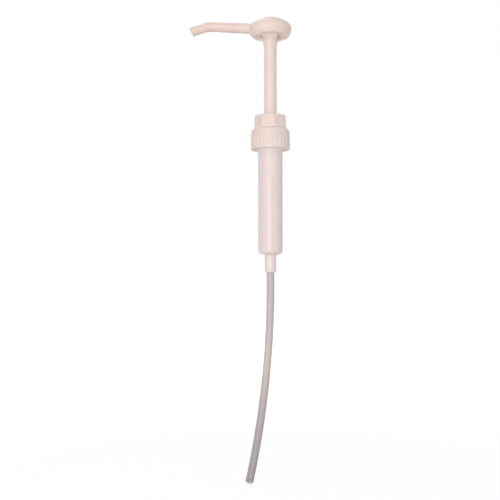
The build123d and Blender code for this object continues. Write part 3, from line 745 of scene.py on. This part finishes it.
def spring_rule():
    """A wire wound in an open coil with closed, dead end turns."""
    low, high = frame_low_high("return_spring")
    rule = Rule("return_spring", {
        "Coil radius": SPRING_R * MM, "Wire radius": WIRE_R * MM, "Turns": float(SPRING_TURNS),
        "Low": low + WIRE_R * MM, "High": high - WIRE_R * MM, "End pitch": END_PITCH * MM,
        "Ramp turns": RAMP_TURNS, "Points": SPRING_TURNS * COIL_POINTS + 1,
    })
    line = rule.add("GeometryNodeCurvePrimitiveLine", None, {
        "Start": (0, 0, 0), "End": (0, 0, 1)})
    even = rule.add("GeometryNodeResampleCurve", None, {
        "Curve": line, "Count": rule.size("Points")})
    turns, ramp, pitch = rule.size("Turns"), rule.size("Ramp turns"), rule.size("End pitch")
    length = rule.size("High") - rule.size("Low")
    active = (length - pitch * (2 * END_TURNS) - ramp * pitch) / (turns - 2 * END_TURNS - ramp)
    done = rule.add("GeometryNodeSplineParameter").out("Factor") * turns
    near = done.maths("MINIMUM", turns - done)
    ramped = ((near - END_TURNS) / ramp).clamped()
    gained = ramped * ramped * ramp / 2 + (near - END_TURNS - ramp).maths("MAXIMUM", 0.0)
    climb = pitch * near + (active - pitch) * gained
    upper = done.maths("GREATER_THAN", turns / 2)
    height = rule.size("Low") + climb + (length - climb * 2) * upper
    coil = rule.at_polar(rule.size("Coil radius"), done * (2 * math.pi), height)
    ring = rule.add("GeometryNodeCurvePrimitiveCircle", None, {
        "Resolution": WIRE_POINTS, "Radius": rule.size("Wire radius")})
    rule.close(rule.add("GeometryNodeCurveToMesh", None, {
        "Curve": rule.moved(even, coil), "Profile Curve": ring, "Fill Caps": True}))
    return rule


def cut_faces():
    """The angle round the tube's end, from its inner side, of the side that the cut faces."""
    towards = Vector((math.cos(TUBE_BEND_TO), math.sin(TUBE_BEND_TO), 0))
    inner = towards * math.cos(TUBE_BEND_ANGLE) + Vector((0, 0, math.sin(TUBE_BEND_ANGLE)))
    aside = Vector((-towards.y, towards.x, 0))
    front = Vector((0, -1, 0))
    return math.atan2(front.dot(aside), front.dot(inner))


def tube_rule():
    """Gives a straight tube the long bend it keeps from its coil, and a slanted cut."""
    arc = TUBE_BEND_R * TUBE_BEND_ANGLE
    rule = Rule("tube_set", {
        "Bend starts": TUBE_BEND_START * MM, "Bend radius": TUBE_BEND_R * MM,
        "Direction": TUBE_BEND_TO, "Length": (arc + TUBE_LONG_SIDE) * MM,
        "Outside radius": TUBE_R * MM, "Cut slope": TUBE_CUT, "Cut faces": cut_faces(),
    })
    near_the_end = 24.0                 # a power that keeps the cut to the last rows
    x, y, z = rule.position()
    cos, sin = rule.size("Direction").maths("COSINE"), rule.size("Direction").maths("SINE")
    towards, aside = x * cos + y * sin, y * cos - x * sin
    faces, bend_r = rule.size("Cut faces"), rule.size("Bend radius")
    run = (rule.size("Bend starts") - z).maths("MAXIMUM", 0.0)
    at_end = (run / rule.size("Length")).maths("POWER", near_the_end)
    near_side = towards * faces.maths("COSINE") + aside * faces.maths("SINE")
    cut_back = (rule.size("Outside radius") + near_side) * rule.size("Cut slope") * at_end
    turn = (run - cut_back) / bend_r
    from_centre = bend_r - towards
    bent = bend_r - from_centre * turn.maths("COSINE")
    straight = z.maths("MAXIMUM", rule.size("Bend starts"))
    height = straight - from_centre * turn.maths("SINE")
    place = rule.joined(bent * cos - aside * sin, bent * sin + aside * cos, height)
    rule.close(rule.moved(rule.size("Geometry"), place))
    return rule


def tube_start():
    """The straight tube, as long as its arc, with rows for the bend and its bore marked for a
    painted glow.
    """
    bore, spare = TUBE_R - TUBE_WALL, 0.2
    end = TUBE_BEND_START - TUBE_BEND_R * TUBE_BEND_ANGLE - TUBE_LONG_SIDE
    rows = stretch_of(TUBE_BEND_START, end + CUT_ROWS_H + 0.1, BEND_ROWS)
    rows += stretch_of(end + CUT_ROWS_H, end, CUT_ROWS)[:-1]
    mesh = turned_mesh([
        (TUBE_R, SOCKET_TOP, 0.3), *((TUBE_R, z, 0) for z in rows), (TUBE_R, end, 0.08),
        (bore, end, 0.08), *((bore, z, 0) for z in reversed(rows)), (bore, SOCKET_TOP, 0.3),
    ], columns=TUBE_COLUMNS)
    mark_glowing_bore(mesh, lambda place: math.hypot(place.x, place.y) < (bore + spare) * MM)
    return mesh


# ---------------------------------------------------------------- barrel, stem and spout bore
def barrel_mesh():
    return turned_mesh([
        (BORE_R, NECK_TOP, 0.3), (NECK_R, NECK_TOP, 0.3), (NECK_R, BEAD_Z + BEAD_H, 0),
        (NECK_R + BEAD_H, BEAD_Z, 0.3), (NECK_R, BEAD_Z - BEAD_H, 0),
        (NECK_R, FLANGE_TOP, 0.25), (FLANGE_R, FLANGE_TOP, 0.3), (FLANGE_R, FLANGE_LOW, 0.15),
        (BARREL_R, FLANGE_LOW, 0.3), *((BARREL_R, z, 0) for z in BARREL_ROWS),
        (BARREL_R, BARREL_FOOT, FOOT_R), (TAIL_R, TAIL_TOP, 0.5), (TAIL_R, TAIL_END, 0.35),
        (TUBE_R, TAIL_END, 0.3), (TUBE_R, SOCKET_TOP, 0), (INLET_R, SOCKET_TOP, 0),
        (INLET_R, BORE_FLOOR - SEAT_H, 0), (SEAT_R, BORE_FLOOR, 0), (BORE_R, BORE_FLOOR, 0.4),
        *((BORE_R, z, 0) for z in reversed(BARREL_ROWS)),
    ], columns=BARREL_COLUMNS)


def vent_cutter():
    """A rod along +Y through the barrel's wall."""
    turns = circle(VENT_COLUMNS)
    return skinned("cutter", [
        [(VENT_R * cos * MM, y * MM, (VENT_Z + VENT_R * sin) * MM) for cos, sin in turns]
        for y in (BORE_R - VENT_PAST_WALL, BARREL_R + VENT_PAST_WALL)])


def flare_side():
    """The stem's side out to its flare, as two arcs that meet halfway."""
    half, rise = (FLARE_R - STEM_R) / 2, (FLARE_HIGH - FLARE_LOW) / 2
    bend_r = (half ** 2 + rise ** 2) / (2 * half)
    turns = stretch_of(0, math.asin(rise / bend_r), FLARE_STEPS)
    arc = [(bend_r * (1 - math.cos(turn)), bend_r * math.sin(turn)) for turn in turns]
    low = [(STEM_R + out, FLARE_LOW + up, 0) for out, up in arc]
    return low + [(FLARE_R - out, FLARE_HIGH - up, 0) for out, up in reversed(arc[:-1])]


def stem_mesh():
    return turned_mesh([
        (STEM_BORE_R, STEM_LOW, 0.2), (STEM_R, STEM_LOW, 0.3), (STEM_R, SHOULDER_LOW, 0),
        (SHOULDER_R, SHOULDER_LOW, 0.25), (SHOULDER_R, SHOULDER_TOP, 0.25),
        (STEM_R, SHOULDER_TOP, 0), (STEM_R, STEM_ROW, 0), *flare_side(),
        (FLARE_R, STEM_TOP, 0.4), (STEM_SOCKET_R, STEM_TOP, 0.2),
        (STEM_SOCKET_R, STEM_SOCKET_LOW, 0), (STEM_BORE_R, STEM_SOCKET_LOW, 0),
    ], columns=STEM_COLUMNS)


def ball_stop_mesh():
    """A cross of two bars above the outlet ball, with its ends in the stem's wall."""
    reach, half = STEM_BORE_R + STOP_BAR_SUNK, STOP_BAR_W / 2
    arm = ((reach, -half), (reach, half), (half, half))
    outline = [(x * cos - y * sin, x * sin + y * cos)
               for cos, sin in ((1, 0), (0, 1), (-1, 0), (0, -1)) for x, y in arm]
    return skinned("cross", [[(x * MM, y * MM, z * MM) for x, y in outline]
                             for z in (STOP_BAR_LOW, STOP_BAR_LOW + STOP_BAR_H)])


def in_spout_bore(place):
    """Whether a place lies in the spout's bore, outside the head's hub."""
    root, bend, tip = (Vector((x, 0, z)) * MM for x, z in SPOUT_LINE)
    start, end = (root, bend) if place.x > bend.x else (bend, tip)
    along = (end - start).normalized()
    aside = (place - start) - along * (place - start).dot(along)
    within = (SPOUT_BORE_R + SPOUT_BORE_SPARE) * MM
    return place.x < -FLARE_R * MM and aside.length < within


# ---------------------------------------------------------------- the pump
def dressed(piece, body, slot, *nodes):
    """The piece stands for its nodes and rides their body. Its slot is not used."""
    if nodes:
        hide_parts(*nodes)
    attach(piece, body)


vented = combined(barrel_mesh(), vent_cutter(), "DIFFERENCE")
barrel = piece_from("barrel_body", vented, "barrel")
dressed(barrel, "pump_body", "white_moulding", "barrel")

crossed = combined(stem_mesh(), ball_stop_mesh(), "UNION")
stem = piece_from("stem_rod", crossed, "stem")
dressed(stem, "plunger", "white_moulding", "stem")

head_mesh = cad_copy("actuator_head")
mark_glowing_bore(head_mesh, in_spout_bore)
head = piece_from("head_and_spout", head_mesh, "head")
dressed(head, "plunger", "white_moulding", "actuator_head")

collar = collar_rule().make("locking_ring", "collar", collar_start())
dressed(collar, "pump_body", "white_moulding", "locking_collar")

closure = closure_rule().make("fluted_closure", "closure", closure_start())
dressed(closure, "closure", "white_moulding", "screw_closure")

thread = thread_rule().make("closure_thread", "closure", thread_start())
dressed(thread, "closure", "white_moulding")

tube = tube_rule().make("suction_tube", "tube", tube_start())
dressed(tube, "pump_body", "tube_plastic", "dip_tube")

spring = spring_rule().make("coil_spring", "spring")
dressed(spring, "pump_body", "spring_steel", "return_spring")
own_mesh(spring)

for node, finish in {
    "wiper_seal": "rubber", "neck_gasket": "rubber", "piston_seal": "rubber",
    "guide_bush": "bearing", "piston_nose": "bearing", "inlet_ball_cage": "bearing",
    "outlet_ball": "ball", "inlet_ball": "ball",
}.items():
    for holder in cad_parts[node].material_slots:
        holder.material = finishes[finish]


# ---------------------------------------------------------------- floor, light and camera
FLOOR_SIZE = 6.0                        # metres to each side
FLOOR_DROP = 0.001                      # below the pump's lowest point
FLOOR_NEAR, FLOOR_FAR = 0.45, 1.2
FLOOR_GLOW = 0.755                      # from the middle to near; it is 1 from far on
FLOOR_LIT, FLOOR_SEEN = (0.82, 0.81, 0.81, 1), (0.35, 0.35, 0.35, 1)
AMBIENT, AMBIENT_TINT = 0.47, (0.96, 0.97, 1.0, 1)
MIDDLE = (0, 0, -0.05)
SOFT_LIGHTS = {                         # place, aim, size, power, colour
    "key": ((-0.5, -1.7, 0.65), MIDDLE, 0.9, 6.9, (1.0, 0.98, 0.91)),
    "front": ((-0.35, -1.6, -0.1), MIDDLE, 0.5, 5.4, (1.0, 0.985, 0.965)),
    "fill": ((1.6, -1.0, -0.1), MIDDLE, 1.2, 2.5, (0.8, 0.9, 1.0)),
    "top": ((-0.35, 0.8, 1.3), (0, 0, 0.1), 0.4, 3.0, (1.0, 0.98, 0.94)),
    "back": ((0.15, 1.8, 0.3), MIDDLE, 0.9, 5.0, (1.0, 0.985, 0.96)),
    "low": ((-0.1, -0.55, -0.34), (0, 0, 0.08), 0.5, 0.6, (1.0, 0.99, 0.98)),
}
CAMERA_PLACE = (-0.008777, -0.867, -0.15)
CAMERA_TURN = 0.01448
CAMERA_TILT = 0.03687
FOCAL_PIXELS = 833.4
IMAGE_PIXELS = 500
SENSOR_WIDTH = 36.0


def white_floor():
    """A pale floor that a camera sees as white. It keeps the pump's shadow near the pump, and a
    camera under it looks through it."""
    shape = bmesh.new()
    bmesh.ops.create_grid(shape, x_segments=1, y_segments=1, size=FLOOR_SIZE)
    for vertex in shape.verts:
        vertex.co.z = cad_box[0][2] - FLOOR_DROP
    mesh = mesh_of(shape, "floor")
    material = bpy.data.materials.new("floor_white")
    material.use_nodes = True
    material.node_tree.nodes.clear()
    bench = Bench(material.node_tree)
    seen = bench.seen()
    card = bench.add("ShaderNodeBsdfDiffuse", None, {
        "Color": bench.between(seen, FLOOR_LIT, FLOOR_SEEN)})
    place = bench.add("ShaderNodeTexCoord").out("Object")
    away = bench.add("ShaderNodeVectorMath", {"operation": "LENGTH"}, {0: place}).out("Value")
    out_there = ((away - FLOOR_NEAR) / (FLOOR_FAR - FLOOR_NEAR)).clamped()
    glow = bench.add("ShaderNodeEmission", None, {
        "Color": WHITE, "Strength": seen * (out_there * (1 - FLOOR_GLOW) + FLOOR_GLOW)})
    both = bench.add("ShaderNodeAddShader", None, {0: card, 1: glow})
    camera_ray = bench.add("ShaderNodeLightPath").out("Is Camera Ray")
    from_below = bench.add("ShaderNodeNewGeometry").out("Backfacing") * camera_ray
    clear = bench.add("ShaderNodeBsdfTransparent")
    whole = bench.add("ShaderNodeMixShader", None, {0: from_below, 1: both, 2: clear})
    bench.add("ShaderNodeOutputMaterial", None, {"Surface": whole})
    mesh.materials.append(material)
    floor = bpy.data.objects.new("floor", mesh)
    bpy.context.scene.collection.objects.link(floor)


def studio_world():
    """White where a camera, a gloss or glass looks, softer where it lights the pump."""
    world = bpy.data.worlds.new("studio")
    bpy.context.scene.world = world
    world.use_nodes = True
    world.node_tree.nodes.clear()
    bench = Bench(world.node_tree)
    seen = bench.seen()
    sky = bench.add("ShaderNodeBackground", None, {
        "Color": bench.between(seen, AMBIENT_TINT, WHITE),
        "Strength": seen * (1 - AMBIENT) + AMBIENT})
    bench.add("ShaderNodeOutputWorld", None, {"Surface": sky})


def soft_light(name, place, aim, size, power, colour):
    """A square soft box that looks at a point."""
    data = bpy.data.lights.new(name, "AREA")
    data.shape, data.size, data.energy, data.color = "SQUARE", size, power, colour
    lamp = bpy.data.objects.new(name, data)
    lamp.location = place
    lamp.visible_camera = False
    lamp.rotation_mode = "QUATERNION"
    lamp.rotation_quaternion = (Vector(aim) - Vector(place)).to_track_quat("-Z", "Y")
    bpy.context.scene.collection.objects.link(lamp)


white_floor()
studio_world()
for name, values in SOFT_LIGHTS.items():
    soft_light(name, *values)

lens = bpy.data.cameras.new("camera")
lens.sensor_width = SENSOR_WIDTH
lens.lens = FOCAL_PIXELS / IMAGE_PIXELS * lens.sensor_width
camera = bpy.data.objects.new("camera", lens)
camera.location = CAMERA_PLACE
camera.rotation_euler = (math.pi / 2 + CAMERA_TILT, 0, CAMERA_TURN)
bpy.context.scene.collection.objects.link(camera)
bpy.context.scene.camera = camera
bpy.context.scene.view_settings.view_transform = "Standard"
